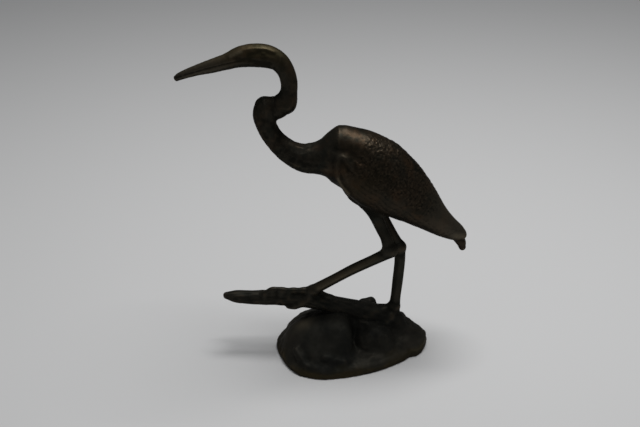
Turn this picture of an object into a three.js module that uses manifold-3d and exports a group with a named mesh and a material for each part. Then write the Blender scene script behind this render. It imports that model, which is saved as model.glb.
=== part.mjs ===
// A heron walking along a log that lies on a rock, cast as one bronze. Millimetres, +Z up.
// The bird faces -X. The origin is the middle of the rock's flat underside.
import * as THREE from "three";
import Module from "manifold-3d";

const wasm = await Module();
wasm.setup();

// Driving sizes of the casting.
const SLAB_HEIGHT = 8;
const TOE_RADIUS = 1.9;
const EYE_RADIUS = 1.5;

// Where the figure bends: x runs to the tail, y to the bird's right, z up.
const BEAK_TIP = { x: -112.6, z: 200.6 };
const CROWN = { x: -62, z: 216 };
const KINK = { x: -57.8, z: 182.6 };
const CHEST = { x: -25, z: 147 };
const SHOULDER = { x: -7, z: 147 };
const WING_TIP = { x: 73, z: 90.2 };
const TAIL_TIP = { x: 74.8, z: 81.5 };
const NEAR_KNEE = { x: 24.6, y: -5.3, z: 81 };
const FAR_KNEE = { x: 32, y: 5.3, z: 78.2 };
const NEAR_FOOT = { x: -26.5, y: -2.2, z: 48.4 };
const FAR_FOOT = { x: 29.8, y: 2, z: 33 };
const LOG_TIP = { x: -87, z: 42.3 };
const LOG_END = { x: 31.5, z: 22.8 };

const bronze = new THREE.MeshStandardMaterial({ color: 0x2b2822, roughness: 0.38, metalness: 0.9 });

const radians = THREE.MathUtils.degToRad;
const join = (solids) => solids.reduce((whole, solid) => whole.add(solid));

// Turns closed, shared-vertex triangles into a solid that can be joined and cut.
function solidOf(positions, triangles) {
  return new wasm.Manifold(
    new wasm.Mesh({
      numProp: 3,
      vertProperties: new Float32Array(positions),
      triVerts: new Uint32Array(triangles),
    }),
  );
}

// Closes rings of the same count of points, with a first and a last point as its ends.
function skin(first, rings, last) {
  const sides = rings[0].length;
  const points = [...rings.flat(), first, last];
  const start = rings.length * sides;
  const triangles = [];
  for (let k = 0; k < sides; k++) {
    const next = (k + 1) % sides;
    triangles.push(start, k, next);
    for (let row = 0; row < rings.length - 1; row++) {
      const here = row * sides;
      triangles.push(here + k, here + sides + k, here + next);
      triangles.push(here + next, here + sides + k, here + sides + next);
    }
    const top = (rings.length - 1) * sides;
    triangles.push(start + 1, top + next, top + k);
  }
  return solidOf(points.flatMap((p) => p.toArray()), triangles);
}

// Sweeps an oval section through stations [x, y, z, half height, half width] along a smooth spine.
// The half height lies in the side view. Roll turns the section, and dome counts the rings of a round end.
function sweep(stations, { sides = 12, steps = 2, roll = 0, dome = 2 } = {}) {
  const curve = (points) => new THREE.CatmullRomCurve3(points, false, "catmullrom", 0.5);
  const spine = curve(stations.map(([x, y, z]) => new THREE.Vector3(x, y, z)));
  const sizes = curve(stations.map(([, , , high, wide]) => new THREE.Vector3(high, wide, 0)));
  const turn = radians(roll);

  const frameAt = (t) => {
    const along = spine.getTangent(t);
    const across = new THREE.Vector3(0, 1, 0).addScaledVector(along, -along.y).normalize();
    const up = along.clone().cross(across);
    return { centre: spine.getPoint(t), along, across, up, half: sizes.getPoint(t) };
  };
  const ring = (t, grow, push) => {
    const { centre, along, across, up, half } = frameAt(t);
    centre.addScaledVector(along, push * Math.min(half.x, half.y));
    return Array.from({ length: sides }, (_, k) => {
      const angle = (2 * Math.PI * k) / sides;
      const high = half.x * grow * Math.cos(angle);
      const wide = half.y * grow * Math.sin(angle);
      return centre
        .clone()
        .addScaledVector(up, high * Math.cos(turn) - wide * Math.sin(turn))
        .addScaledVector(across, high * Math.sin(turn) + wide * Math.cos(turn));
    });
  };
  const end = (t, push) => {
    const { centre, along, half } = frameAt(t);
    return centre.addScaledVector(along, push * Math.min(half.x, half.y));
  };

  const rings = [];
  const slices = (stations.length - 1) * steps;
  const lean = (k) => (k / dome) * (Math.PI / 2);
  for (let k = 1; k < dome; k++) {
    rings.push(ring(0, Math.sin(lean(k)), -Math.cos(lean(k))));
  }
  for (let i = 0; i <= slices; i++) {
    rings.push(ring(i / slices, 1, 0));
  }
  for (let k = 1; k < dome; k++) {
    rings.push(ring(1, Math.cos(lean(k)), Math.sin(lean(k))));
  }
  const reach = dome > 0 ? 1 : 0;
  return skin(end(0, -reach), rings, end(1, reach));
}

// Bill, flat crown and the upper neck, which drops to the kink.
function headAndUpperNeck() {
  return sweep(
    [
      [BEAK_TIP.x, 0, BEAK_TIP.z, 1.5, 1.2],
      [-109, 0, 202.5, 2.5, 1.8],
      [-100, 0, 205.9, 3.1, 2.4],
      [-90, 0, 208.8, 4.1, 3],
      [-80, 0, 211.9, 4.9, 3.8],
      [-71, 0, 215, 6.6, 5],
      [CROWN.x, 0, CROWN.z, 7.3, 5.7],
      [-54.5, 0, 215, 7.1, 5.7],
      [-48.2, 0, 211.5, 6.1, 5.3],
      [-43.6, 0, 205.3, 5.2, 5],
      [-41.8, 0, 197.5, 5, 4.8],
      [-42.4, 0, 189.6, 5.6, 5],
      [-44.9, 0, 184.3, 7.5, 5.8],
      [-52.4, 0, 180.4, 8.2, 6.2],
    ],
    { sides: 18 },
  );
}

// One round eye, standing a little out of the side of the head.
function eye(side) {
  const x = CROWN.x - 4.6;
  const y = side * 4.9;
  const z = CROWN.z + 0.6;
  const stations = [
    [x - 0.5, y, z, EYE_RADIUS, 1],
    [x + 0.5, y, z, EYE_RADIUS, 1],
  ];
  return sweep(stations, { sides: 8 });
}

// Lower neck, from the kink down into the chest.
function lowerNeck() {
  return sweep(
    [
      [KINK.x, 0, KINK.z, 6, 5.7],
      [-58.3, 0, 177, 6.8, 6.2],
      [-56.9, 0, 169.8, 6.4, 6.3],
      [-53.2, 0, 162, 6.4, 6.4],
      [-48, 0, 155.7, 6.8, 6.8],
      [-41, 0, 150.3, 7.6, 7.5],
      [-33, 0, 146.9, 9.2, 8.8],
      [CHEST.x, 0, CHEST.z, 10.6, 10.6],
      [-17.5, 0, 148.2, 15, 12.6],
      [-11.5, 0, 148.4, 19.6, 13.8],
      [-3, 0, 146.2, 20.6, 14.4],
      [7, 0, 141, 20.6, 14.4],
    ],
    { sides: 20 },
  );
}

// Body, from the shoulders to the closed wing tips.
function body() {
  return sweep(
    [
      [SHOULDER.x + 9, 0, 143.8, 20.4, 13],
      [9.5, 0, 138.4, 23.6, 14.6],
      [19, 0, 132.4, 23.6, 14.6],
      [30, 0, 123.4, 21.2, 13.2],
      [41, 0, 114.1, 16.4, 10.8],
      [52, 0, 104.4, 10.9, 8.2],
      [62, 0, 96.8, 7.5, 6],
      [69, 0, 92.4, 5.3, 4.6],
      [WING_TIP.x, 0, WING_TIP.z, 3.2, 3.4],
    ],
    { sides: 24 },
  );
}

// The cape of back feathers, with a blunt front edge that stands over the neck.
function mantle() {
  return sweep(
    [
      [SHOULDER.x - 4, 0, 156.6, 12.2, 12.4],
      [-4, 0, 156.4, 11.8, 13.6],
      [6, 0, 151.8, 13.7, 15],
      [18, 0, 143, 15.3, 15.4],
      [30, 0, 131.6, 14.6, 13.8],
      [41, 0, 119.6, 12.2, 11.2],
      [52, 0, 107.6, 9.2, 8.2],
    ],
    { sides: 20, dome: 0 },
  );
}

// One folded wing, a long drop lying on the flank; side is -1 for the left wing and 1 for the right one.
function wing(side) {
  return sweep(
    [
      [-6, side * 10, 144, 7.6, 4.6],
      [-0.5, side * 11.4, 139.8, 11.4, 5.4],
      [9.5, side * 12.2, 130.6, 12.6, 5.6],
      [22, side * 11.4, 122.2, 11.8, 5.4],
      [35, side * 9.2, 114.2, 10, 5],
      [48, side * 6.6, 105.8, 8.1, 4.4],
      [60, side * 4, 97.2, 6.5, 3.6],
      [WING_TIP.x - 3, side * 2, 91.8, 3.6, 2.9],
    ],
    { sides: 16, roll: side * 8 },
  );
}

// The tail shows as a short point under the wing tips.
function tail() {
  return sweep(
    [
      [64, 0, 94, 3, 3.6],
      [70.8, 0, 87, 2.9, 3.2],
      [TAIL_TIP.x, 0, TAIL_TIP.z, 1.9, 2.4],
    ],
    { sides: 10 },
  );
}

// Thighs and shanks: the left leg steps forward, the right one stands upright behind it.
function legs() {
  const nearThigh = [
    [12.3, -6.5, 116, 5.4, 5.4],
    [13.7, -6.5, 108.6, 4.5, 4.4],
    [18.9, -6, 97.4, 3.8, 3.5],
    [21.9, -5.7, 90, 3.8, 3.4],
    [NEAR_KNEE.x, NEAR_KNEE.y, NEAR_KNEE.z, 4.2, 3.6],
  ];
  const nearShank = [
    [NEAR_KNEE.x + 1.4, NEAR_KNEE.y, NEAR_KNEE.z - 0.9, 4, 3.6],
    [15, -4.6, 73.8, 3.5, 3.2],
    [0, -3.7, 65.4, 3.4, 3.1],
    [-12, -3, 57.7, 3.3, 3.1],
    [NEAR_FOOT.x, NEAR_FOOT.y, NEAR_FOOT.z, 3.5, 3.5],
  ];
  const farThigh = [
    [12.5, 6.5, 116, 5.6, 5.4],
    [17.3, 6.5, 104.4, 4.4, 4.2],
    [20.6, 6.4, 97.8, 3.8, 3.6],
    [27.1, 6, 86, 3.6, 3.4],
    [FAR_KNEE.x, FAR_KNEE.y, FAR_KNEE.z, 4, 3.6],
  ];
  const farShank = [
    [FAR_KNEE.x, FAR_KNEE.y, FAR_KNEE.z + 0.5, 3.8, 3.4],
    [32.2, 4.4, 68, 3.3, 3.1],
    [31.2, 3.4, 52, 3.3, 3.1],
    [30.4, 2.6, 41, 3.3, 3.2],
    [FAR_FOOT.x, FAR_FOOT.y, FAR_FOOT.z, 3.8, 3.8],
  ];
  return join([nearThigh, nearShank, farThigh, farShank].map((stations) => sweep(stations, { sides: 12 })));
}

// One toe through the given points, thinning to the claw.
function toe(points) {
  const radius = (i) => TOE_RADIUS * (1 - (0.4 * i) / (points.length - 1));
  return sweep(
    points.map((point, i) => [...point, radius(i), radius(i)]),
    { sides: 8 },
  );
}

function toes() {
  const near = [NEAR_FOOT.x, NEAR_FOOT.y, NEAR_FOOT.z - 0.4];
  const far = [FAR_FOOT.x, FAR_FOOT.y, FAR_FOOT.z];
  return join([
    toe([near, [-38, -2.4, 48.6], [-47, -2.8, 48.3], [-54.4, -3, 49.7], [-58.6, -3.6, 46.6]]),
    toe([near, [-31, -5.4, 43], [-36, -6.6, 38.2], [-41, -5.4, 35]]),
    toe([near, [-36, 3, 45], [-45, 5.2, 42.4], [-50, 5, 39.8]]),
    toe([near, [-20, 1.6, 42.4], [-14, 3.4, 39.4]]),
    toe([far, [22, -1, 31.8], [14, -4, 31], [8, -5.4, 28.6]]),
    toe([far, [28, -4, 29.4], [22.6, -7.4, 24]]),
    toe([far, [22, 4.6, 30.6], [13, 5.4, 31.4]]),
    toe([far, [34, 0, 26.4], [36, -1, 22]]),
  ]);
}

// The log: a thin end that points ahead of the bird, thickening until it sinks into the rock.
function log() {
  return sweep(
    [
      [LOG_TIP.x, 0, LOG_TIP.z, 2.4, 2.4],
      [-81, 0, 41.4, 4.1, 4.2],
      [-70, 0, 40.9, 4.8, 4.8],
      [-56, 0, 40.8, 5.1, 5],
      [-43, 0, 40.6, 5.3, 5.1],
      [-31, 0, 38.8, 5.7, 5.5],
      [-16.5, 0, 35.6, 5.8, 5.8],
      [-4, 0, 32.4, 6.2, 6.2],
      [9, 0, 29, 6.9, 7],
      [22, 0, 25.6, 6.8, 7.4],
      [LOG_END.x, 0, LOG_END.z, 6.2, 7.2],
    ],
    { sides: 14 },
  );
}

// A boulder: an egg shape cut by small facets at evenly spread directions, and by flats
// [azimuth, elevation, share of the egg's reach] of its own.
function boulder({ at, radii, spin, facets = 16, flats = [], sides = 16, rows = 8 }) {
  const [rx, ry, rz] = radii;
  const facing = (turn, z) => {
    const ring = Math.sqrt(1 - z * z);
    return new THREE.Vector3(ring * Math.cos(turn), ring * Math.sin(turn), z);
  };
  const plane = (normal, share) => ({
    normal,
    distance: share * Math.hypot(normal.x * rx, normal.y * ry, normal.z * rz),
  });
  const goldenAngle = Math.PI * (3 - Math.sqrt(5));
  const planes = Array.from({ length: facets }, (_, i) => {
    const share = 0.91 + 0.05 * Math.sin(7 * i + spin);
    return plane(facing(i * goldenAngle + spin, 1 - (2 * i + 1) / facets), share);
  });
  for (const [azimuth, elevation, share] of flats) {
    planes.push(plane(facing(radians(azimuth), Math.sin(radians(elevation))), share));
  }
  const surface = (turn, z) => {
    const direction = facing(turn, z);
    let reach = 1 / Math.hypot(direction.x / rx, direction.y / ry, direction.z / rz);
    for (const { normal, distance } of planes) {
      const toward = normal.dot(direction);
      if (toward > 0) reach = Math.min(reach, distance / toward);
    }
    return direction.multiplyScalar(reach).add(new THREE.Vector3(...at));
  };
  const rings = [];
  for (let row = 1; row < rows; row++) {
    const z = -Math.cos((Math.PI * row) / rows);
    rings.push(Array.from({ length: sides }, (_, k) => surface((-2 * Math.PI * k) / sides, z)));
  }
  return skin(surface(0, -1), rings, surface(0, 1));
}

// The rock's foot: a low slab with a rounded rim, on the outline of the whole casting.
function slab() {
  const corners = [
    [54.4, 8], [52, -5], [43.4, -13.2], [32.8, -21.4], [20.4, -29.2], [6, -35], [-6, -39], [-18, -41.2],
    [-30.4, -39.2], [-41.6, -29.6], [-49.9, -14], [-53.6, 0], [-48, 16], [-36, 28], [-14, 35], [10, 35],
    [32, 30], [48, 20],
  ];
  const outline = new THREE.CatmullRomCurve3(
    corners.map(([x, y]) => new THREE.Vector3(x, y, 0)),
    true,
  );
  const rim = outline.getPoints(44).slice(0, -1);
  const level = (z, grow) => rim.map((p) => new THREE.Vector3(p.x * grow, p.y * grow, z));
  const rings = [
    level(0, 0.995),
    level(SLAB_HEIGHT * 0.3, 1),
    level(SLAB_HEIGHT * 0.75, 0.98),
    level(SLAB_HEIGHT, 0.92),
  ];
  return skin(new THREE.Vector3(0, 0, 0), rings, new THREE.Vector3(0, 0, SLAB_HEIGHT * 2));
}

// The rock: the slab, a broad boulder with a flat face under the log, and smaller stones beside and behind it.
function rock() {
  const broad = {
    at: [-19.5, -7, 5],
    radii: [31.4, 30, 27.2],
    spin: 0.4,
    flats: [
      [-98, 52, 0.88],
      [0, 4, 0.74],
    ],
    sides: 24,
    rows: 10,
  };
  const stump = { at: [18, -7, 11], radii: [17, 14, 15], spin: 1.3 };
  const right = { at: [35.6, 1, 6.6], radii: [17.8, 15.6, 14], spin: 2.1, flats: [[40, 42, 0.84]] };
  const lump = { at: [10.4, 13, 21.2], radii: [9.6, 8.8, 12], spin: 0.9, sides: 12, rows: 7 };
  const back = { at: [6, 15, 8], radii: [31, 16, 14], spin: 1.9 };
  return join([slab(), ...[broad, stump, right, lump, back].map(boulder)]);
}

// Everything under the floor plane is cut away, so that the casting stands flat.
function cutAtFloor(solid) {
  const reach = 200;
  const corner = (x, y, z) => new THREE.Vector3(x * reach, y * reach, z);
  const square = (z) => [corner(-1, -1, z), corner(-1, 1, z), corner(1, 1, z), corner(1, -1, z)];
  const low = new THREE.Vector3(0, 0, -reach);
  const high = new THREE.Vector3(0, 0, 0);
  return solid.subtract(skin(low, [square(-reach), square(0)], high));
}

function meshOf(name, solid) {
  const { vertProperties, triVerts } = solid.getMesh();
  const geometry = new THREE.BufferGeometry();
  geometry.setAttribute("position", new THREE.BufferAttribute(vertProperties, 3));
  geometry.setIndex(new THREE.BufferAttribute(triVerts, 1));
  geometry.computeVertexNormals();
  const mesh = new THREE.Mesh(geometry, bronze);
  mesh.name = name;
  return mesh;
}

const head = [headAndUpperNeck(), eye(-1), eye(1)];
const trunk = [lowerNeck(), body(), mantle(), wing(-1), wing(1), tail()];
const casting = cutAtFloor(join([...head, ...trunk, legs(), toes(), log(), rock()]));

const statuette = new THREE.Group();
statuette.add(meshOf("heron_statuette", casting));

export default statuette;
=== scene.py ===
import itertools
import math

import bpy
import numpy as np
import openvdb
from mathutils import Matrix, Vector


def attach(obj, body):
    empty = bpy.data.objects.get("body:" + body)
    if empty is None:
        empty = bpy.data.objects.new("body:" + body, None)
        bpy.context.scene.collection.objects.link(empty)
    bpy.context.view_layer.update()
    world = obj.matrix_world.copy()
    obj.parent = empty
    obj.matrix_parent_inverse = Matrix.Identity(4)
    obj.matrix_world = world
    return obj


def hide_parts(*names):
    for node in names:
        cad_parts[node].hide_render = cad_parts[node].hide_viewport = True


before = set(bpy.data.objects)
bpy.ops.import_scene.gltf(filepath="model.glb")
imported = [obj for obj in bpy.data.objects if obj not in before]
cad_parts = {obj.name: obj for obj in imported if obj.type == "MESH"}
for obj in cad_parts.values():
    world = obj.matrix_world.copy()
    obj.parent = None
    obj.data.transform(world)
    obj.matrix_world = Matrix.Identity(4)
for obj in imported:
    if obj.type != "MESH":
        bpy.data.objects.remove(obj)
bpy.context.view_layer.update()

# --- Rock ---
# A low ledge with boulders on it: a broad one with a smooth face under the log, a squat stump and a ridged
# stone to its right, a small lump behind the log and plain stones at the back. Every form is clay, kept as
# distances to its surface on a grid of PITCH, up to REACH away, and pressed on the next.
PITCH = 0.4
REACH = 6.0
LEDGE_HEIGHT = 8.0
LEDGE_STEPS = [(0, 0.985), (0.25, 0.995), (0.5, 0.99), (0.7, 0.965), (0.85, 0.93), (1, 0.87), (1.12, 0.8)]
LEDGE_OUTLINE = [
    (54.6, 8), (52, -5), (46.9, -12.6), (41, -15.2), (33.2, -22.4), (20.4, -30.4), (6, -36), (-6, -39.4),
    (-18, -41.1), (-30.5, -38.9), (-42.6, -31.2), (-49.4, -14), (-54.3, 0), (-48, 16), (-36, 28), (-14, 35),
    (10, 35), (32, 30), (48, 20),
]
RIM_RIDGES = [
    (2.2, [
        (-40, -24.2, 15.4), (-38.4, -26.8, 13.8), (-35.6, -30.4, 10.8), (-32.6, -33.6, 8), (-30.6, -35, 6.4),
    ]),
    (2.2, [(-21, -32, 12.6), (-16.6, -32.2, 12), (-12.6, -33, 10.8), (-8.6, -33.4, 9.8), (-4.6, -33.6, 8.8)]),
    (2.4, [(12, -25, 6.2), (20, -21, 6.6), (28, -16.6, 6.8), (36, -10, 7.2)]),
]
BROAD_CUTS = [
    (-98, 46, 0.765), (0, 3, 0.62), (180, 74, 0.805), (180, 26, 0.925), (-135, 32, 0.88), (-60, 20, 0.88),
    (125, 55, 0.92),
]


class Clay:
    """A block of clay: the distance in millimetres from every point of a grid to the modelled surface."""

    def __init__(self, low, high):
        self.first = np.floor(np.array(low) / PITCH).astype(int)
        self.count = np.ceil(np.array(high) / PITCH).astype(int) - self.first
        self.depth = np.full(self.count, REACH, np.float32)

    def places(self):
        """The grid's coordinates along X, Y and Z, shaped to combine into the whole block."""
        ends = self.first + self.count
        return np.ogrid[tuple(slice(a, b) for a, b in zip(self.first, ends))]

    def press(self, other, blend):
        """Presses another block's form on this one, with a fillet about as wide as blend."""
        low = np.maximum(self.first, other.first)
        high = np.minimum(self.first + self.count, other.first + other.count)
        mine = self.depth[tuple(slice(a, b) for a, b in zip(low - self.first, high - self.first))]
        theirs = other.depth[tuple(slice(a, b) for a, b in zip(low - other.first, high - other.first))]
        near = np.clip(1 - np.abs(mine - theirs) / blend, 0, None)
        mine[...] = np.minimum(mine, theirs) - near * near * blend / 4

    def work(self, relief, band=2.0):
        """Raises the surface by relief(points), in millimetres, over the thin shell near it."""
        shell = np.argwhere(np.abs(self.depth) < band)
        self.depth[tuple(shell.T)] -= relief((self.first + shell) * PITCH).astype(np.float32)
        return self

    def probe(self, points):
        """The distance to the surface at each of the points."""
        cells = np.rint(points / PITCH).astype(int) - self.first
        inside = np.all((cells >= 0) & (cells < self.count), axis=1)
        found = np.full(len(points), REACH, np.float32)
        found[inside] = self.depth[tuple(cells[inside].T)]
        return found


def modelled(points, triangles):
    """The clay form of a closed mesh."""
    clay = Clay(points.min(0) - REACH, points.max(0) + REACH)
    grid = openvdb.FloatGrid.createLevelSetFromPolygons(
        (points / PITCH).astype(np.float32),
        triangles=triangles.astype(np.uint32),
        halfWidth=REACH / PITCH,
    )
    grid.copyToArray(clay.depth, ijk=tuple(int(v) for v in clay.first))
    clay.depth *= PITCH
    return clay


def smooth_line(stops, steps, closed=False):
    """Rows of numbers along a smooth curve through the stops."""
    stops = np.array(stops, float)
    if closed:
        padded = np.vstack([stops[-1:], stops, stops[:2]])
    else:
        padded = np.vstack([2 * stops[0] - stops[1], stops, 2 * stops[-1] - stops[-2]])
    t = np.arange(steps)[:, None] / steps
    rows = []
    for before, start, end, after in zip(padded, padded[1:], padded[2:], padded[3:]):
        out, into = (end - before) / 2, (after - start) / 2
        rise = 3 * t**2 - 2 * t**3
        rows.append(start + (end - start) * rise + out * (t - 2 * t**2 + t**3) + into * (t**3 - t**2))
    if not closed:
        rows.append(stops[-1:])
    return np.vstack(rows)


def skin(first, rings, last):
    """Points and triangles of a closed tube through the rings, with a point at either end."""
    rows, sides = rings.shape[:2]
    points = np.vstack([rings.reshape(-1, 3), first, last])
    here = np.arange(rows * sides).reshape(rows, sides)
    beside = np.roll(here, -1, axis=1)
    walls = [
        np.stack([here[:-1], here[1:], beside[:-1]], -1),
        np.stack([beside[:-1], here[1:], beside[1:]], -1),
    ]
    ends = [
        np.stack([np.full(sides, rows * sides), here[0], beside[0]], -1),
        np.stack([np.full(sides, rows * sides + 1), beside[-1], here[-1]], -1),
    ]
    return points, np.vstack([w.reshape(-1, 3) for w in walls + ends])


def noise(points, size, seed):
    """Smooth random numbers from -1 to 1; the lumps are size across, one number or one for each axis."""
    repeat = 32
    table = np.random.default_rng(seed).uniform(-1, 1, (repeat, repeat, repeat))
    place = points / np.array(size, float)
    cell = np.floor(place).astype(int)
    part = place - cell
    part = part * part * (3 - 2 * part)
    total = np.zeros(len(points))
    for corner in itertools.product((0, 1), repeat=3):
        share = np.prod(np.where(corner, part, 1 - part), axis=1)
        total += share * table[tuple(((cell + corner) % repeat).T)]
    return total


def boulder(at, radii, spin, facets=16, even=0.91, flats=(), soft=1.4):
    """An egg cut by evenly spread facets, and by flats (azimuth, elevation, share of the egg's reach)."""
    at, radii = np.array(at, float), np.array(radii, float)
    clay = Clay(at - radii - REACH, at + radii + REACH)
    x, y, z = (axis * PITCH - middle for axis, middle in zip(clay.places(), at))
    whole = np.sqrt((x / radii[0]) ** 2 + (y / radii[1]) ** 2 + (z / radii[2]) ** 2)
    slope = np.sqrt((x / radii[0] ** 2) ** 2 + (y / radii[1] ** 2) ** 2 + (z / radii[2] ** 2) ** 2)
    depth = whole * (whole - 1) / np.maximum(slope, 1e-6)
    golden_angle = math.pi * (3 - math.sqrt(5))
    cuts = []
    for i in range(facets):
        height = 1 - (2 * i + 1) / facets
        turn = i * golden_angle + spin
        cuts.append((turn, height, even + 0.05 * math.sin(7 * i + spin)))
    for azimuth, elevation, share in flats:
        cuts.append((math.radians(azimuth), math.sin(math.radians(elevation)), share))
    for turn, height, share in cuts:
        level = math.sqrt(1 - height * height)
        facing = np.array([level * math.cos(turn), level * math.sin(turn), height])
        plane = x * facing[0] + y * facing[1] + z * facing[2] - share * np.linalg.norm(facing * radii)
        near = np.clip(1 - np.abs(depth - plane) / soft, 0, None)
        depth = np.maximum(depth, plane) + near * near * soft / 4
    clay.depth[...] = np.clip(depth, -REACH, REACH)
    return clay


def ramp(values, start, end):
    """0 up to the start, 1 from the end on and even between; it falls where the end is the lower number."""
    return np.clip((values - start) / (end - start), 0, 1)


def rock_relief(p):
    """Weathering: broad dents, chips and pits, quieter on the smooth face and stronger on the stones."""
    x, y, z = p.T
    face = ramp(x, 2, -3) * ramp(z, 10, 14) * ramp(y, -2, -8)
    stones = ramp(x, 1, 5) * ramp(z, 7, 10)
    low = ramp(z, 12, 8) * np.maximum(ramp(x, -5, 7), 0.25)
    dents = (1 - 0.4 * low) * (0.8 * noise(p, 11, 1) + 0.45 * noise(p, 5.2, 2))
    chips = 0.45 - 1.3 * np.abs(noise(p, 7.5, 8))
    pits = (1 - 0.6 * low) * (0.24 * noise(p, 2.6, 3) + 0.12 * noise(p, 1.3, 7))
    strata = 0.4 * noise(p + 1.5 * noise(p, 9, 4)[:, None], (14, 14, 3.4), 9)
    right = ramp(x, 29, 34)
    rough = dents + (stones + 0.3 * low) * np.maximum(chips, -0.6) + pits
    return rough * (1 - 0.65 * face) + right * strata - 0.3


class Wire:
    """A socket of the node tree in hand; Python's operators on numbers add Math nodes to that tree."""

    tree = None

    def __init__(self, socket):
        self.socket = socket

    @classmethod
    def node(cls, kind, settings=(), inputs=(), output=0):
        """Adds a node, sets it, fills or links its sockets, and gives one of its outputs."""
        node = cls.tree.nodes.new(kind)
        for name, value in dict(settings).items():
            setattr(node, name, value)
        for name, value in dict(inputs).items():
            if isinstance(value, cls):
                cls.tree.links.new(value.socket, node.inputs[name])
            else:
                node.inputs[name].default_value = value
        return cls(node.outputs[output]) if node.outputs else None

    def maths(operation, swapped=False):
        """The method behind one operator."""
        def apply(self, other):
            pair = (other, self) if swapped else (self, other)
            return Wire.node("ShaderNodeMath", {"operation": operation}, enumerate(pair))
        return apply

    __add__, __radd__ = maths("ADD"), maths("ADD")
    __mul__, __rmul__ = maths("MULTIPLY"), maths("MULTIPLY")
    __sub__, __rsub__ = maths("SUBTRACT"), maths("SUBTRACT", swapped=True)
    __pow__ = maths("POWER")


# A roll of clay along a bent line: thickest at its root, swollen at its knuckles and round at both ends.
ROLL_SIZES = {"Root Radius": 2.3, "Taper": 0.35, "Knuckles": 4.0, "Swell": 0.09}
roll = bpy.data.node_groups.new("clay_roll", "GeometryNodeTree")
roll.interface.new_socket("Line", in_out="INPUT", socket_type="NodeSocketGeometry")
for name in ROLL_SIZES:
    roll.interface.new_socket(name, in_out="INPUT", socket_type="NodeSocketFloat")
roll.interface.new_socket("Wax", in_out="INPUT", socket_type="NodeSocketMaterial")
roll.interface.new_socket("Roll", in_out="OUTPUT", socket_type="NodeSocketGeometry")
Wire.tree = roll
given = roll.nodes.new("NodeGroupInput")
line, root, taper, knuckles, swell, wax = (Wire(socket) for socket in given.outputs[:6])
share = Wire.node("GeometryNodeSplineParameter")
wave = Wire.node("ShaderNodeMath", {"operation": "COSINE"}, {0: share * knuckles * (2 * math.pi)})
blunt = (1 - (share * 2 - 1) ** 12.0) ** 0.5
radius = root * (1 - taper * share) * (1 + swell * wave) * blunt
spine = Wire.node("GeometryNodeMeshToCurve", inputs={"Mesh": line})
spine = Wire.node("GeometryNodeCurveSplineType", {"spline_type": "CATMULL_ROM"}, {"Curve": spine})
spine = Wire.node("GeometryNodeResampleCurve", inputs={"Curve": spine, "Count": 64})
ring = Wire.node("GeometryNodeCurvePrimitiveCircle", inputs={"Resolution": 24, "Radius": 1.0})
bar = {"Curve": spine, "Profile Curve": ring, "Scale": radius, "Fill Caps": True}
bar = Wire.node("GeometryNodeCurveToMesh", inputs=bar)
bar = Wire.node("GeometryNodeRealizeInstances", inputs={"Geometry": bar})
bar = Wire.node("GeometryNodeSetMaterial", inputs={"Geometry": bar, "Material": wax})
Wire.node("NodeGroupOutput", inputs={"Roll": bar})
modelling_wax = bpy.data.materials.new("modelling_wax")


def put(name, data):
    """A new object that holds the data, set in the scene."""
    thing = bpy.data.objects.new(name, data)
    bpy.context.scene.collection.objects.link(thing)
    return thing


def lift_off(thing):
    """The object's mesh with its modifiers applied; the object itself leaves the scene."""
    result = bpy.data.meshes.new_from_object(thing.evaluated_get(bpy.context.evaluated_depsgraph_get()))
    bpy.data.objects.remove(thing)
    return result


def rolled(stops, **sizes):
    """The clay form of one roll through the stops."""
    path = bpy.data.meshes.new("line")
    path.from_pydata(stops, [(i, i + 1) for i in range(len(stops) - 1)], [])
    holder = put("line", path)
    shaping = holder.modifiers.new("roll", "NODES")
    shaping.node_group = roll
    values = {**ROLL_SIZES, **{name.replace("_", " ").title(): size for name, size in sizes.items()}}
    values["Wax"] = modelling_wax
    for item in roll.interface.items_tree:
        if item.name in values:
            shaping[item.identifier] = values[item.name]
    shaped = lift_off(holder)
    shaped.calc_loop_triangles()
    places = np.array([tuple(v.co) for v in shaped.vertices])
    corners = np.array([tuple(t.vertices) for t in shaped.loop_triangles])
    return modelled(places, corners)


rim = smooth_line(LEDGE_OUTLINE, 8, closed=True)[::-1]
rings = np.array([
    np.column_stack([rim * grow, np.full(len(rim), LEDGE_HEIGHT * level)]) for level, grow in LEDGE_STEPS
])
rings = np.vstack([rings[:1] - [0, 0, REACH], rings])
rock = Clay([-56, -44, -2], [57, 39, 42])
rock.press(modelled(*skin([0, 0, -REACH], rings, [0, 0, LEDGE_HEIGHT * 2])), 1)
rock.press(boulder((-19.2, -7, 5), (33, 33, 30), 0.4, 8, 0.97, BROAD_CUTS, 6), 4)
rock.press(boulder((6, 15, 8), (31, 16, 14), 1.9), 3)
rock.press(boulder((9, -3, 12), (21, 11, 16), 0.3), 5)
rock.press(boulder((15.5, -9, 9), (15.5, 15.5, 16.5), 1.3, 12), 2.5)
rock.press(boulder((35.8, 1, 6.6), (17.8, 15.6, 14.1), 2.1, 16, 0.91, [(40, 42, 0.86)]), 2)
rock.press(boulder((31.5, 2, 15), (9, 10, 13), 0.5), 3.5)
for thick, stops in RIM_RIDGES:
    rock.press(rolled(stops, root_radius=thick, taper=0.0, swell=0.0), 4)
rock.press(boulder((10.8, 13, 20.4), (10.9, 8.8, 12.1), 0.9, 16, 0.94), 2)
rock.work(rock_relief, 3)

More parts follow.
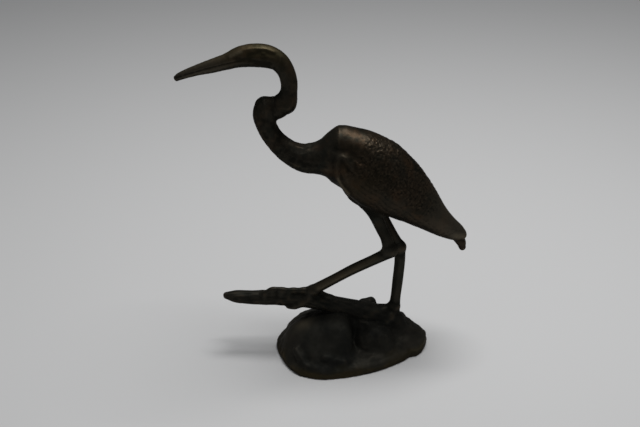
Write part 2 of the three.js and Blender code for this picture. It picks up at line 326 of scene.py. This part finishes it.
# --- Log ---
# A branch cast in one with the rock: its free end points ahead of the bird, blunt and worn, and its thick end
# sinks between the stones. The bark is shallow lengthwise ridges with a few knots.
LOG = [
    (-87.4, 0, 42.3, 2.5, 2.4), (-81, 0, 41.4, 4.1, 4.2), (-70, 0, 40.8, 4.9, 4.8), (-56, 0, 40.6, 5.4, 5.1),
    (-43, 0, 40.6, 5.4, 5.1), (-31, 0, 38.8, 5.7, 5.5), (-16.5, 0, 35.6, 6, 5.8), (-4, 0, 32.5, 6.5, 6.3),
    (9, 0, 29.1, 7.1, 7), (22, 0, 25.4, 6.6, 7.2), (31.5, 0, 22.2, 5.4, 6),
]
KNOTS, KNOT_SIZE = [(-50, -4, 38.5), (-8, -5, 32)], 3.0


def sweep(*runs, roll=0, steps=10, sides=72, ends=1.0):
    """A clay bar through stations (x, y, z, half height, half width, fullness), creased where two runs meet.

    Fullness 2 is an oval section, less is keeled and more is boxy. Ends is how far the two ends bulge."""
    lines = [smooth_line([tuple(s) + (2,) * (6 - len(s)) for s in run], steps) for run in runs]
    rows = np.vstack([line[:-1] for line in lines[:-1]] + lines[-1:])
    centre, high, wide, full = rows[:, :3], rows[:, 3:4], rows[:, 4:5], rows[:, 5:6]
    along = np.gradient(centre, axis=0)
    along /= np.linalg.norm(along, axis=1, keepdims=True)
    across = np.array([0, 1, 0]) - along * along[:, 1:2]
    across /= np.linalg.norm(across, axis=1, keepdims=True)
    up = np.cross(along, across)
    turn = math.radians(roll)
    angle = 2 * math.pi * np.arange(sides) / sides
    c, s = np.cos(angle), np.sin(angle)
    share = (np.abs(c) ** full + np.abs(s) ** full) ** (-1 / full)
    tall, broad = high * c * share, wide * s * share
    lift = (tall * math.cos(turn) - broad * math.sin(turn))[..., None] * up[:, None]
    side = (tall * math.sin(turn) + broad * math.cos(turn))[..., None] * across[:, None]
    rings = lift + side
    reach = np.minimum(high, wide) * ends
    caps = 6
    lean = math.pi / 2 * np.arange(1, caps) / caps
    head = [centre[0] - along[0] * reach[0] * math.cos(a) + rings[0] * math.sin(a) for a in lean]
    tail = [centre[-1] + along[-1] * reach[-1] * math.sin(a) + rings[-1] * math.cos(a) for a in lean]
    body = centre[:, None] + rings
    tube = np.concatenate([np.array(head), body, np.array(tail)])
    return modelled(*skin(centre[0] - along[0] * reach[0], tube, centre[-1] + along[-1] * reach[-1]))


def bark(p):
    """Long shallow ridges that follow the log, and the hollows of old knots."""
    x, y, z = p.T
    around = np.column_stack([x + 0.3 * z, y, z + 0.28 * np.clip(x + 35, 0, None)])
    ridges = 0.26 * noise(around, (11, 2.6, 2.6), 5) + 0.2 * noise(around, (4.5, 1.3, 1.3), 6)
    knots = 0.0
    for at in KNOTS:
        away = np.linalg.norm(p - at, axis=1) / KNOT_SIZE
        knots = knots + 0.3 * np.exp(-((away - 0.8) ** 2) / 0.12) - 0.3 * np.exp(-(away**2) / 0.3)
    return ridges + knots + 0.1


log = sweep(LOG).work(bark)

# --- Legs and feet ---
# Thin legs with knotted heels: the left one strides ahead and the right one stands upright behind it. The
# long toes lie over the log with the middle claw hooked on it, and are cast in one with the bark.
LEGS = {
    "near thigh": [
        (10.4, -5, 116.5, 6.8, 5.4), (13.9, -4.8, 108.2, 4.6, 4.2), (18.7, -4.4, 97, 4, 3.7),
        (21.9, -4.3, 89.8, 3.9, 3.6), (24.4, -4.6, 80.9, 4.5, 3.7),
    ],
    "near shank": [
        (26, -4.8, 80.1, 4.3, 3.7), (15, -4.4, 73.8, 3.9, 3.4, 1.7), (0, -3.7, 65.4, 3.8, 3.3, 1.6),
        (-12, -3, 57.7, 3.6, 3.2, 1.7), (-26.5, -2.2, 48.4, 3.7, 3.6),
    ],
    "far thigh": [
        (12.5, 4.8, 116.5, 5.6, 5.4), (17.3, 4.4, 105, 4.6, 4.2), (20.8, 4, 98.4, 4.1, 3.8),
        (27.2, 3.5, 86.6, 3.9, 3.6), (31.7, 3.6, 78.6, 4.2, 3.6),
    ],
    "far shank": [
        (31.8, 3.6, 79, 4, 3.4), (32.3, 3.6, 68, 3.7, 3.1, 1.7), (31.3, 3.2, 52, 3.7, 3.1, 1.6),
        (30.4, 2.6, 41, 3.5, 3.2, 1.8), (29.7, 2, 33, 3.9, 3.8),
    ],
}
NEAR_FOOT, FAR_FOOT = (-26.5, -2.2, 48), (29.8, 2, 33)
TOES = [
    [
        NEAR_FOOT, (-38, -2.4, 47.8), (-46, -2.8, 48.2), (-52.6, -3, 49.2), (-57.4, -3.2, 48.4),
        (-61.4, -3.6, 45.4),
    ],
    [(-43, -2.2, 44.6), (-51, -2.4, 45.8), (-58, -2.8, 45.4), (-62, -2.8, 43.6)],
    [NEAR_FOOT, (-31.6, -3.6, 41.4), (-37, -4.4, 36.8), (-42, -3.8, 35), (-46, -3.2, 35.4)],
    [NEAR_FOOT, (-36, 3, 44.6), (-45, 4.8, 42.2), (-50, 4.8, 39.8)],
    [NEAR_FOOT, (-20, 1.6, 42), (-14, 3, 38.6)],
    [FAR_FOOT, (22, -1, 31), (14, -3.6, 30.2), (8, -4.6, 28)],
    [FAR_FOOT, (27.4, -3.6, 28.6), (22.4, -6.8, 23.4)],
    [FAR_FOOT, (22, 4.6, 30), (13, 5, 30.6)],
    [FAR_FOOT, (31.6, 0.6, 27), (33.6, 0, 22)],
]

legs = Clay([-66, -16, 18], [46, 16, 126])
for stations in LEGS.values():
    legs.press(sweep(stations), 3)
for toe in TOES:
    legs.press(rolled(toe, knuckles=len(toe) - 1.0), 3.2)

# --- Body and wings ---
# A deep keeled body under a cape of small back feathers, whose blunt front edge stands a little over the
# neck. The folded wings lie on the flanks as long drops and end in a point with the short tail. Marks are cut
# along lines of the side drawing, which is seen from the camera's place.
BODY = [
    (-4, 0, 146.4, 19.6, 14), (3, 0, 143, 20.8, 14.2), (9.5, 0, 138.4, 23.4, 14.6),
    (14, 0, 134.7, 24.4, 14.7), (19, 0, 131.4, 23.5, 14.6), (30, 0, 123.3, 21, 13.2),
    (41, 0, 114.2, 16.5, 10.8), (52, 0, 104.4, 10.9, 8.2), (62, 0, 96.8, 7.5, 6), (69, 0, 92.4, 5.3, 4.6),
    (73, 0, 90.2, 3.2, 3.4),
]
MANTLE = [
    (-2, 0, 155, 10.4, 12), (6, 0, 151.2, 13.2, 14.6), (18, 0, 143, 14.1, 15.4), (30, 0, 131.5, 12.2, 13.8),
    (41, 0, 119.6, 10.1, 11.2), (52, 0, 107.6, 7.8, 8.2), (58.5, 0, 100.5, 5.9, 6.4),
    (66.2, 0, 94.2, 3.4, 4.2),
]
WING = [
    (-6, 10, 144, 7.6, 4.6), (-0.5, 11.4, 139.8, 11.4, 5.4), (9.5, 12.2, 130.6, 12.6, 5.6),
    (22, 11.4, 122.2, 11.6, 5.4), (35, 9.2, 114.4, 9.5, 5), (48, 6.6, 106.2, 7.6, 4.4),
    (60, 4, 97.6, 5.7, 3.6), (70, 2, 91.8, 3.2, 2.9),
]
TAIL = [(64, 0, 95, 3, 3.6), (71.9, 0, 86.3, 3.5, 3), (74, 0, 80.8, 2.4, 2.5)]
BACK_START, BACK_END = np.array([-10.0, 150]), np.array([74.0, 88])
WING_LIP = [
    (-1.8, 139.6), (-3.4, 142.6), (-5.6, 145.9), (-8.2, 147.2), (-10.6, 146), (-11.8, 142), (-11.6, 137),
    (-10.8, 131.4), (-9, 127), (-6.6, 123.8), (-3.8, 120.4),
]
WING_HOLLOW = [(-11, 152.5), (-4, 151.5), (4, 145.5), (12, 138), (22, 129)]
BEHIND_LIP = [(-3, 138), (-7, 141), (-8.6, 137), (-8, 132), (-6, 127.5), (-2.5, 122)]
UNDER_WING = [(-4, 119.5), (4, 112.5), (16, 107), (28, 102.5), (44, 97), (58, 90.5)]
CAMERA_AT, CAMERA_DIP = (-22.5, -603.0, 413.4), 27


def drawn(p):
    """Places on the side drawing, as the camera sees them; both flanks take the left one's drawing."""
    ahead, across, above = CAMERA_AT
    share = across / (across + np.abs(p[:, 1]))
    return np.column_stack([ahead + (p[:, 0] - ahead) * share, above + (p[:, 2] - above) * share])


def off_line(q, line):
    """How far each place on the drawing lies from a line of points."""
    best = np.full(len(q), 1e3)
    for a, b in zip(np.array(line, float), np.array(line[1:], float)):
        t = np.clip((q - a) @ (b - a) / ((b - a) @ (b - a)), 0, 1)
        best = np.minimum(best, np.linalg.norm(q - a - t[:, None] * (b - a), axis=1))
    return best


def groove(q, line, width, deep, fade=0.0):
    """A soft groove along a line of the drawing, as height; it can fade out over its last part."""
    fall = 1.0
    if fade:
        start, end = np.array(line[0], float), np.array(line[-1], float)
        along = (q - start) @ (end - start) / ((end - start) @ (end - start))
        fall = np.clip((1 - along) / fade, 0, 1)
    return -deep * fall * np.exp(-((off_line(q, line) / width) ** 2))


def shingles(rows, columns):
    """Overlapping rows of rounded feather ends, 0 to 1; the arguments count feathers along and across."""
    layers = []
    for shift in (0, 1):
        side = (columns + shift / 2) % 1 - 0.5
        run = ((rows + shift + 0.6 * (1 - 4 * side * side)) / 2) % 1
        fall = np.clip((1 - run) / 0.14, 0, 1)
        layers.append(run * fall * fall * (3 - 2 * fall))
    return np.maximum(*layers)


def feathering(p):
    """How strongly back and lower wing are cut, and the places along and across the wing."""
    q = drawn(p)
    axis = (BACK_END - BACK_START) / np.linalg.norm(BACK_END - BACK_START)
    along = (q - BACK_START) @ axis
    rise = (q - BACK_START) @ np.array([-axis[1], axis[0]])
    sway = np.column_stack([noise(p, 7, 11), noise(p, 7, 12)])
    patch = ramp(along - 5.5 - 5 * sway[:, 0], 0, 8) * ramp(82 - along + 5 * sway[:, 1], 0, 18)
    patch *= np.maximum(ramp(rise + 13 - 0.09 * along + 3 * sway[:, 1], 0, 9), 0.1)
    lower = ramp(along, 16, 30) * ramp(rise, -3, -7) * ramp(along, 88, 78)
    return patch, lower, along + sway[:, 0], rise + sway[:, 1]


def plumage(p):
    """Small scale-like feathers on back and wings; shoulder, lower wing and tips are left smooth."""
    patch, lower, along, rise = feathering(p)
    scales = shingles(along / 1.6, rise / 1.4)
    quills = (rise / 3.2 + 0.012 * along) % 1
    cut = patch * (0.24 * scales + 0.27 * noise(p, 1.15, 14) - 0.11)
    return cut + lower * 0.12 * quills + 0.06 * noise(p, 1.3, 13)


def off_keel(p):
    """0 on the middle of breast and belly, where the wings' edges stop short of each other, 1 beside."""
    return ramp(np.abs(p[:, 1]) - 0.6, 0, 3)


def wing_edges(p):
    """The bend of the wing: a lip round its front, the hollow above it, and the line under its lower edge."""
    q = drawn(p)
    hollow = groove(q, WING_HOLLOW, 3.6, 1.3, 0.5)
    behind = groove(q, BEHIND_LIP, 2.0, 0.35)
    lip = np.maximum(groove(q, WING_LIP[:6], 1.8, -0.75), groove(q, WING_LIP[5:], 1.4, -0.75))
    under = groove(q, UNDER_WING, 1.0, 0.4, 0.4)
    return hollow + (behind + lip + under) * off_keel(p)


trunk = Clay([-26, -26, 72], [84, 26, 178])
trunk.press(sweep(BODY), 1)
for side in (-1, 1):
    wing = [(x, side * y, z, high, wide) for x, y, z, high, wide in WING]
    trunk.press(sweep(wing, roll=side * 8), 5)
trunk.press(sweep(MANTLE), 5)
trunk.press(sweep(TAIL), 0.8)

# --- Neck and head ---
# The neck leaves the chest thick, thins and rises to a sharp kink, and climbs again to the flat long head.
# The bill is a keeled wedge with the gape cut in, and a groove runs behind the eye under the brow.
LOWER_NECK = [
    (-57.6, 0, 182.4, 6, 5.8), (-58.2, 0, 177, 7, 6.4), (-56.9, 0, 169.8, 6.6, 6.5),
    (-53.2, 0, 162, 6.6, 6.6),
    (-48, 0, 155.6, 7.1, 7), (-41, 0, 150, 8, 7.7), (-33, 0, 146.6, 9.4, 9), (-25, 0, 146.3, 10.2, 10.4),
    (-16, 0, 146.3, 11, 11.6), (-8, 0, 146, 11.5, 12),
]
SHOULDERS = [
    (-27.5, 0, 148.6, 6.6, 8.2), (-25.7, 0, 148.6, 7.6, 9.2), (-21.9, 0, 148.6, 10.5, 11),
    (-17.4, 0, 148.6, 15.1, 12.6), (-13, 0, 148.6, 18.8, 13.4), (-10.5, 0, 148.6, 20.2, 13.8),
]
WITHERS = [
    (-10.5, 0, 148.6, 20.2, 13.8), (-5.4, 0, 148.6, 20.1, 14.2), (0, 0, 148.6, 18.5, 14.4),
    (7, 0, 148.6, 16.4, 14.4), (14, 0, 148.6, 12.9, 13.6), (21, 0, 148.6, 8, 10.5),
]
KINK = [
    (-44.4, 0, 184.2, 5.3, 5.4), (-47.7, 0, 182.8, 6.1, 5.8), (-51, 0, 181, 7.5, 6),
    (-56.8, 0, 181.1, 6.7, 5.8),
]
HEAD = [
    (-112.2, 0, 200.9, 2, 1.6), (-108.6, 0, 202.8, 2.6, 2.2, 1.9), (-100, 0, 205.9, 3.4, 2.8, 1.9),
    (-90, 0, 208.8, 4.4, 3.5, 1.9), (-80, 0, 211.9, 5.2, 4.3, 1.9), (-71, 0, 215, 6.8, 5.3, 2),
    (-62, 0, 215.8, 7.4, 5.9, 2.1), (-54.5, 0, 214.9, 7.2, 5.8, 2.1), (-48, 0, 211.6, 6.3, 5.4),
    (-43.6, 0, 205.3, 5.5, 5.2), (-41.8, 0, 197.5, 5.3, 5), (-42.3, 0, 190, 5.2, 5.2),
    (-44, 0, 184.6, 5.3, 5.4),
]
EYE = np.array([-57.3, 5.2, 218.3])
EYE_STRIPE = [(-66, 215.6), (-61, 216.9), (-56, 217), (-51.4, 215.6)]
BROW = [(-78, 215.8), (-74, 217.8), (-69.8, 219.2), (-63, 220.4), (-56, 220.2), (-51, 218)]
GAPE = [(-112.5, 201.3), (-100, 205.2), (-90, 208), (-80, 210.6), (-72, 212.3)]
CHEEK = [(-74, 213.4), (-68, 213), (-62, 211.4), (-54, 210)]
PLUMES_EDGE = [(-60, 168), (-56, 158.5), (-50, 151), (-42, 145.4), (-32, 142), (-20, 141)]


def head_marks(p):
    """The edge of the upper bill, the brow, and the sunken stripe through the eye with the cheek under it."""
    q = drawn(p)
    gape = groove(q, GAPE, 0.6, 0.3)
    stripe = groove(q, EYE_STRIPE, 1.6, 0.5)
    cheek = groove(q, CHEEK, 1.6, 0.35)
    brow = groove(q, BROW, 1.0, -0.3)
    return gape + stripe + cheek + brow + 0.07 * noise(p, 1.8, 18)


def neck_plumes(p):
    """Soft lengthwise feathering, and the hanging edge of the breast plumes along the lower neck."""
    edge = groove(drawn(p), PLUMES_EDGE, 2.4, 0.55)
    return edge + 0.16 * noise(p, (5, 1.8, 5), 19) + 0.08 * noise(p, 1.7, 20)


bird = Clay([-116, -26, 18], [84, 26, 226])
bird.press(sweep(HEAD).work(head_marks), 1)
bird.press(sweep(KINK), 7)
for side in (-1, 1):
    x, y, z = EYE[0], side * EYE[1], EYE[2]
    bird.press(sweep([(x - 0.4, y - side * 0.8, z, 1, 1), (x + 0.4, y - side * 0.8, z, 1, 1)], sides=32), 0.8)
bird.press(sweep(LOWER_NECK).work(neck_plumes), 3)
bird.press(sweep(SHOULDERS, WITHERS), 3)
bird.press(trunk, 2)
bird.work(wing_edges, 3)
bird.work(plumage, 1.5)
bird.press(legs, 2.5)

# --- Casting ---
# Bird, log and rock are one pour of bronze, so the blocks are pressed into one and skinned as a single piece.
# The skin is thinned where it is flat and keeps its fine faces on the feathers, toes and stones.
MOST_TRIANGLES = 196000

casting = Clay([-116, -44, -2], [84, 39, 226])
casting.press(rock, 1)
casting.press(log, 2)
casting.press(bird, 2.6)
heights = casting.places()[2] * PITCH
casting.depth[...] = np.maximum(casting.depth, -heights)

grid = openvdb.FloatGrid(REACH)
grid.copyFromArray(casting.depth, ijk=tuple(int(v) for v in casting.first), tolerance=0.0)
points, triangles, quads = grid.convertToPolygons(isovalue=0, adaptivity=0)
skin_mesh = bpy.data.meshes.new("raw_skin")
faces = [tuple(int(v) for v in f) for f in triangles] + [tuple(int(v) for v in f) for f in quads]
skin_mesh.from_pydata((points * PITCH / 1000).astype(float), [], faces)
raw = put("raw_skin", skin_mesh)
thin = raw.modifiers.new("thin", "DECIMATE")
thin.ratio = MOST_TRIANGLES / (len(triangles) + 2 * len(quads))
mesh = lift_off(raw)
mesh.name = "heron_casting"
heron = put("heron_casting", mesh)
mesh.shade_smooth()

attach(heron, "root")
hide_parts("heron_statuette")

# --- Patina ---
# Dark brown over bronze: thicker and greener in the hollows, rubbed to a warm brown on ridges and edges, and
# greyer on the rock. Painted light and shade go into the same masks: painted shade under the body, the head,
# the brow and the wing's lower edge, on the neck's top and on the rock's face, and painted highlights on the
# forehead, the wing's bend and lip, the tail, the shin and the rock's upper left and sides. Eight masks from
# 0 to 1 on the skin's points say where, from its fine ridges and hollows and from the places of the forms.
FORM_WARMTH = [(rock, 0.0), (log, 0.0), (legs, 0.1), (trunk, 1.0), (bird, 0.4)]
FORM_BLEND = 1.2
ANY = np.inf


def rows_of(items, name, width, kind=np.float32):
    """One property of all vertices or edges of a mesh, a row for each."""
    values = np.empty(len(items) * width, kind)
    items.foreach_get(name, values)
    return values.reshape(-1, width)


places = rows_of(mesh.vertices, "co", 3) * 1000
facing = rows_of(mesh.vertices, "normal", 3)
ends = rows_of(mesh.edges, "vertices", 2, np.int32)
count = len(places)
neighbours = np.bincount(ends.ravel(), minlength=count)


def evened(values, rounds):
    """Numbers on the skin's points, each replaced by the mean of its neighbours' in every round."""
    for _ in range(rounds):
        total = np.bincount(ends[:, 0], values[ends[:, 1]], count)
        total += np.bincount(ends[:, 1], values[ends[:, 0]], count)
        values = total / neighbours
    return values


def spot(p, at, size):
    """1 at a place and fading round it; a size of ANY leaves that axis out."""
    return np.exp(-np.sum(((p - np.array(at)) / size) ** 2, axis=1))


def streak(line, width):
    """1 on a line of the side drawing and fading beside it."""
    return -groove(side_view, line, width, 1)


smoothed = np.column_stack([evened(axis, 8) for axis in places.T])
ridge_height = np.einsum("ij,ij->i", places - smoothed, facing)
fine_ridges = ridge_height - evened(ridge_height, 30)
x, y, z = places.T
tailward, _, upward = facing.T
side_view = drawn(places)
height_drawn = side_view[:, 1]
weights = [np.exp(-np.clip(clay.probe(places), 0, None) / FORM_BLEND) for clay, _ in FORM_WARMTH]
shares = [weight / sum(weights) for weight in weights]
on_rock, on_log, on_leg, on_wing, _ = shares

# Head and neck.
crown = ramp(z, 204, 218) * ramp(upward, -0.5, 0.5)
# Painted highlight: a light streak on the forehead at the bill's root.
forehead_highlight = streak([(-78, 215.2), (-74.4, 216.8), (-71.4, 218)], 0.9)
beak = ramp(x, -66, -86) * ramp(z, 190, 198)
eyes = spot(np.column_stack([x, np.abs(y), z]), EYE, 1.8)
# Painted shade: the eye stripe and a band under the brow are painted darker.
stripe = streak(EYE_STRIPE, 2.0) + 0.35 * streak([(-72, 213), (-64, 211.6), (-56, 211)], 3.0)
# Painted shade on the kink's top, under the head; it is rougher there too.
throat_painted_shade = spot(places, (-54, 0, 187.5), (7.75, 7.75, 3.74))
nape = ramp(z, 176, 186) * ramp(z, 212, 204)
# Painted shade that dims the highlight on the lower neck's top; it is rougher there too.
dimmed_neck_top = spot(places, (-34, 0, 156), (17.3, ANY, 7.75))

# Body and wings.
patch, lower_wing, _, _ = feathering(places)
olive = spot(side_view, (5, 127), (13, 9)) * on_wing
# Painted shade along the belly just under the wing's lower edge; it is rougher there too.
shaded_belly_line = streak([(-5, 117.5), (3, 110.6), (14, 105.6)], 2.4)
# Painted shade: faces turned down under the body and wings are darkened.
underside_painted_shade = ramp(upward, -0.25, -0.65) * ramp(z, 60, 80)
sideways = ramp(tailward, -0.8, -0.5)
# Painted highlights: light metal along the lower part of the wing's front lip and over its bend.
lip = streak(WING_LIP[7:], 1.0) * off_keel(places) * sideways
wing_bend_highlight = streak(WING_LIP[:5], 1.3) * sideways
# Painted highlight: the rear of the back and the tail are lighter worn-looking metal, less so at the tail's
# lowest point, and a light band crosses near the tail's end.
tail = ramp(x, 42, 62) * ramp(z, 60, 75) * (1 - 0.85 * ramp(height_drawn, 87.2, 86.2))
tail_highlight_band = ramp(x, 64, 68) * spot(side_view, (0, 89), (ANY, 1.9))

# Legs and feet.
thigh = on_leg * ramp(z, 82, 90)
shank = on_leg - thigh
# The shin: rubbed warm metal, with a painted highlight along its middle.
shin_wear_and_highlight = streak([(15, 72.1), (-24, 48.3)], 2.2) * on_leg
knee = spot(places, (23, -5, 80), 10.95)
near_foot = ramp(x, -20, -28) * ramp(z, 58, 52) * on_leg
far_foot = ramp(x, 14, 20) * ramp(z, 40, 34) * on_leg

# Rock and log.
log_tip = ramp(x, -55, -70) * on_log
# Painted shade: the middle of the boulder's broad face is darkened, dimming the lamp's highlight there.
face_painted_shade = spot(places, (-14, 0, 19), (13, ANY, 8)) * ramp(y, -8, -16)
# Painted highlight on the upper left bevel of the broad boulder.
rock_highlight_patch = spot(places, (-35, -10, 29), 6)
# Painted light: the rock's left side is made lighter.
left_side_painted_light = ramp(x, -33, -41) * ramp(z, 34, 26)
# Painted light: the stones right of the broad face are lightened, most at the far right end.
right_stones_lightened = ramp(x, 2, 12) * on_rock
ledge = ramp(z, 12, 9) * ramp(x, -2, 6)
foot = ramp(z - 4 * noise(places, 9, 21), 9, 4) * np.clip(1.3 - 1.3 * np.abs(upward), 0, 1)
foot *= 0.7 + 0.8 * noise(places, (14, 14, 3), 22)

calm = 1 - 0.4 * on_rock - 0.5 * near_foot - 0.6 * streak(WING_LIP, 4) - 0.35 * streak(WING_HOLLOW, 4)
# The ridge mask: above 0.5 it is rubbed brown on fine ridges, below 0.5 dark patina in hollows. The terms
# taken off below darken the eyes, thighs and far foot, and paint shade on the underside, the eye stripe, the
# throat, the neck's top, the belly line and the rock's face.
relief = 0.5 + 2.5 * fine_ridges * calm - 0.11 * patch * on_wing - 0.3 * underside_painted_shade
relief -= 0.5 * stripe + 2 * eyes + 0.5 * throat_painted_shade + 0.2 * dimmed_neck_top + 0.7 * shaded_belly_line
relief -= 0.22 * thigh + 0.2 * far_foot + 0.25 * face_painted_shade
stone = np.clip(1.6 * on_rock + np.maximum(ramp(x, -30, 0), 0.3) * on_log, 0, 1)
stone = stone * (1 - 0.85 * np.clip(1.3 * foot, 0, 1)) + 0.4 * near_foot
warmth = sum(share * warm for share, (_, warm) in zip(shares, FORM_WARMTH))
warmth = np.clip(warmth + 0.5 * crown, 0, 1)
warmth += 1.2 * foot + 0.8 * shin_wear_and_highlight + 0.35 * nape * np.clip(0.3 + 1.5 * tailward, 0, 1)
# Worn metal: real wear on crown, bill, nape, knees, log tip and rock, and painted highlights on the forehead,
# the wing's lip and bend, the tail, the shin and the rock's patch and sides.
wear_and_highlights = 0.1 * crown + 0.8 * forehead_highlight + 0.85 * beak + 0.2 * nape
wear_and_highlights += 0.35 * lower_wing * (1 - olive) * on_wing + 0.7 * lip + 0.22 * wing_bend_highlight
wear_and_highlights += 0.9 * tail + 0.5 * tail_highlight_band
wear_and_highlights += 0.35 * shank + 0.9 * shin_wear_and_highlight + 0.2 * knee - 0.3 * far_foot
wear_and_highlights += 0.15 * log_tip + 0.8 * rock_highlight_patch + 0.35 * left_side_painted_light + 0.12 * ledge + 0.2 * foot
wear_and_highlights += right_stones_lightened * (0.05 + 0.22 * ramp(x, 30, 38))
# Bare metal, mostly painted highlights: forehead, the wing's lip, shin, the rock's patch and the tail's band.
bare_and_highlights = 0.5 * forehead_highlight + 0.3 * lip + 0.55 * shin_wear_and_highlight + 0.25 * rock_highlight_patch + 0.2 * tail_highlight_band
dull = dimmed_neck_top + throat_painted_shade + shaded_belly_line + 0.6 * on_log
masks = {
    "ridge_and_shade": relief, "stone": stone, "warmth": warmth, "wear_and_highlights": wear_and_highlights, "bare_and_highlights": bare_and_highlights,
    "gilt": crown + 0.9 * foot, "dull": dull, "olive": olive,
}
for name, values in masks.items():
    layer = mesh.attributes.new(name, "FLOAT", "POINT")
    layer.data.foreach_set("value", np.clip(values, 0, 1).astype(np.float32))

BROWNS = (0.04, 0.0268, 0.0165, 1), (0.0155, 0.0138, 0.0098, 1)
GREENS = (0.0155, 0.017, 0.0138, 1), (0.028, 0.0262, 0.0208, 1)
GREYS = (0.012, 0.0124, 0.011, 1), (0.02, 0.0195, 0.0163, 1)
RUST_BROWN, HOLLOW_AND_SHADE_BLACK = (0.052, 0.0285, 0.0145, 1), (0.006, 0.0062, 0.005, 1)
WORN_AND_HIGHLIGHT_METAL, RUBBED_BROWN = (0.07, 0.0605, 0.046, 1), (0.055, 0.042, 0.028, 1)
OLIVE_BROWN, GILDING = (0.019, 0.0148, 0.006, 1), (0.066, 0.055, 0.024, 1)
BARE_HIGHLIGHT_METAL, SHEEN = (0.2, 0.165, 0.105, 1), (0.42, 0.4, 0.37, 1)

patina = bpy.data.materials.new("dark_bronze_patina")
patina.use_nodes = True
patina.node_tree.nodes.clear()
Wire.tree = patina.node_tree


def step(value, low, high):
    """0 where the value is below low and 1 above high, smooth between."""
    inputs = {"Value": value, "From Min": low, "From Max": high}
    return Wire.node("ShaderNodeMapRange", {"interpolation_type": "SMOOTHSTEP"}, inputs)


def blend(mask, first, second):
    """The first colour where the mask is 0 and the second where it is 1."""
    return Wire.node("ShaderNodeMix", {"data_type": "RGBA"}, {0: mask, 6: first, 7: second}, 2)


place = Wire.node("ShaderNodeTexCoord", output=3)


def mottle(scale, detail, rough=0.55):
    """Noise on the casting, 0 to 1, with a number of lumps to the metre."""
    inputs = {"Vector": place, "Scale": scale, "Detail": detail, "Roughness": rough}
    return Wire.node("ShaderNodeTexNoise", inputs=inputs)


ridge_and_shade_mask, stone_mask, warm_mask, wear_and_highlight_mask, bare_and_highlight_mask, gilt_mask, dull_mask, olive_mask = (
    Wire.node("ShaderNodeAttribute", {"attribute_name": name}, output=2) for name in masks
)
patches = mottle(60, 2)
rust = mottle(95, 3)
flecks = mottle(420, 4, 0.7)
grain = mottle(1500, 3, 0.6)
speckled_ridge_and_shade = ridge_and_shade_mask + (flecks - 0.5) * 0.2
rubbed = step(speckled_ridge_and_shade, 0.5, 0.85)
# Dark patina in the hollows, and painted shade where the masks above lowered the ridge mask.
hollow = 1 - step(speckled_ridge_and_shade, 0.2, 0.52)

brown = blend(step(patches, 0.36, 0.62), *BROWNS)
green = blend(step(patches, 0.34, 0.66), *GREENS)
grey = blend(step(patches, 0.36, 0.64), *GREYS)
base = blend(step(warm_mask + (patches - 0.5) * 1.5, 0.15, 0.85), green, brown)
base = blend(step(rust, 0.5, 0.7) * warm_mask * 0.65, base, RUST_BROWN)
base = blend(stone_mask, base, grey)
# Worn metal: real wear, and the painted highlights listed above.
base = blend(wear_and_highlight_mask * 0.7 + (patches - 0.5) * wear_and_highlight_mask * 0.6, base, WORN_AND_HIGHLIGHT_METAL)
# The black of the hollows' patina, which is also the colour of the painted shade.
base = blend(hollow * (0.6 - stone_mask * 0.35), base, HOLLOW_AND_SHADE_BLACK)
base = blend(rubbed * (0.6 - stone_mask * 0.48), base, RUBBED_BROWN)
base = blend(olive_mask * (patches * 0.8 + 0.2), base, OLIVE_BROWN)
base = blend(gilt_mask * 0.3, base, GILDING)
# Bare metal: mostly painted highlights, with real wear on the shin.
base = blend(bare_and_highlight_mask * (flecks + 0.4), base, BARE_HIGHLIGHT_METAL)
rough = 0.49 + (flecks - 0.5) * 0.2 + hollow * 0.12 - rubbed * 0.04
rough = rough - warm_mask * 0.1 + stone_mask * 0.12 + gilt_mask * 0.07 + dull_mask * 0.14
metal = 0.74 - stone_mask * 0.2 - hollow * 0.08
pores = {"Strength": 0.25, "Distance": 0.0002, "Height": grain * 0.5 + flecks}
surface = Wire.node("ShaderNodeBsdfPrincipled", inputs={
    "Base Color": base,
    "Roughness": rough,
    "Metallic": metal,
    "Normal": Wire.node("ShaderNodeBump", inputs=pores),
    "Specular IOR Level": 0.12,
    "Specular Tint": SHEEN,
})
Wire.node("ShaderNodeOutputMaterial", inputs={"Surface": surface})
mesh.materials.clear()
mesh.materials.append(patina)

# --- Studio ---
# A plain pale matt table, one large soft daylight overhead, and the camera at the photograph's height and
# tilt. Lengths here are metres.
TABLE = [(-20, -20, 0), (20, -20, 0), (20, 20, 0), (-20, 20, 0)]
LAMP_AT, LAMP_AIM, LAMP_SIZE, LAMP_WATTS = (0.12, 0.06, 1.1), (0, 0.08, 0), 0.64, 10
ROOM_COLOUR, ROOM_STRENGTH = (0.95, 0.97, 1.0, 1), 0.14
card = bpy.data.meshes.new("table")
card.from_pydata(TABLE, [], [(0, 1, 2, 3)])
floor = put("table", card)
cloth = bpy.data.materials.new("pale_cloth")
cloth.use_nodes = True
matt = cloth.node_tree.nodes["Principled BSDF"].inputs
matt["Base Color"].default_value = (0.6, 0.6, 0.6, 1)
matt["Roughness"].default_value = 0.95
card.materials.append(cloth)

lamp = bpy.data.lights.new("overhead", "AREA")
lamp.shape, lamp.size, lamp.energy = "DISK", LAMP_SIZE, LAMP_WATTS
overhead = put("overhead", lamp)
overhead.location = LAMP_AT
aim = Vector(LAMP_AIM) - Vector(LAMP_AT)
overhead.rotation_euler = aim.to_track_quat("-Z", "Y").to_euler()

world = bpy.data.worlds.new("room")
bpy.context.scene.world = world
world.use_nodes = True
sky = world.node_tree.nodes["Background"].inputs
sky["Color"].default_value = ROOM_COLOUR
sky["Strength"].default_value = ROOM_STRENGTH

lens = bpy.data.cameras.new("camera")
lens.sensor_width = 36
lens.lens = 57.09
camera = put("camera", lens)
camera.location = [length / 1000 for length in CAMERA_AT]
camera.rotation_euler = (math.radians(90 - CAMERA_DIP), 0, 0)
bpy.context.scene.camera = camera
bpy.context.scene.view_settings.view_transform = "Standard"
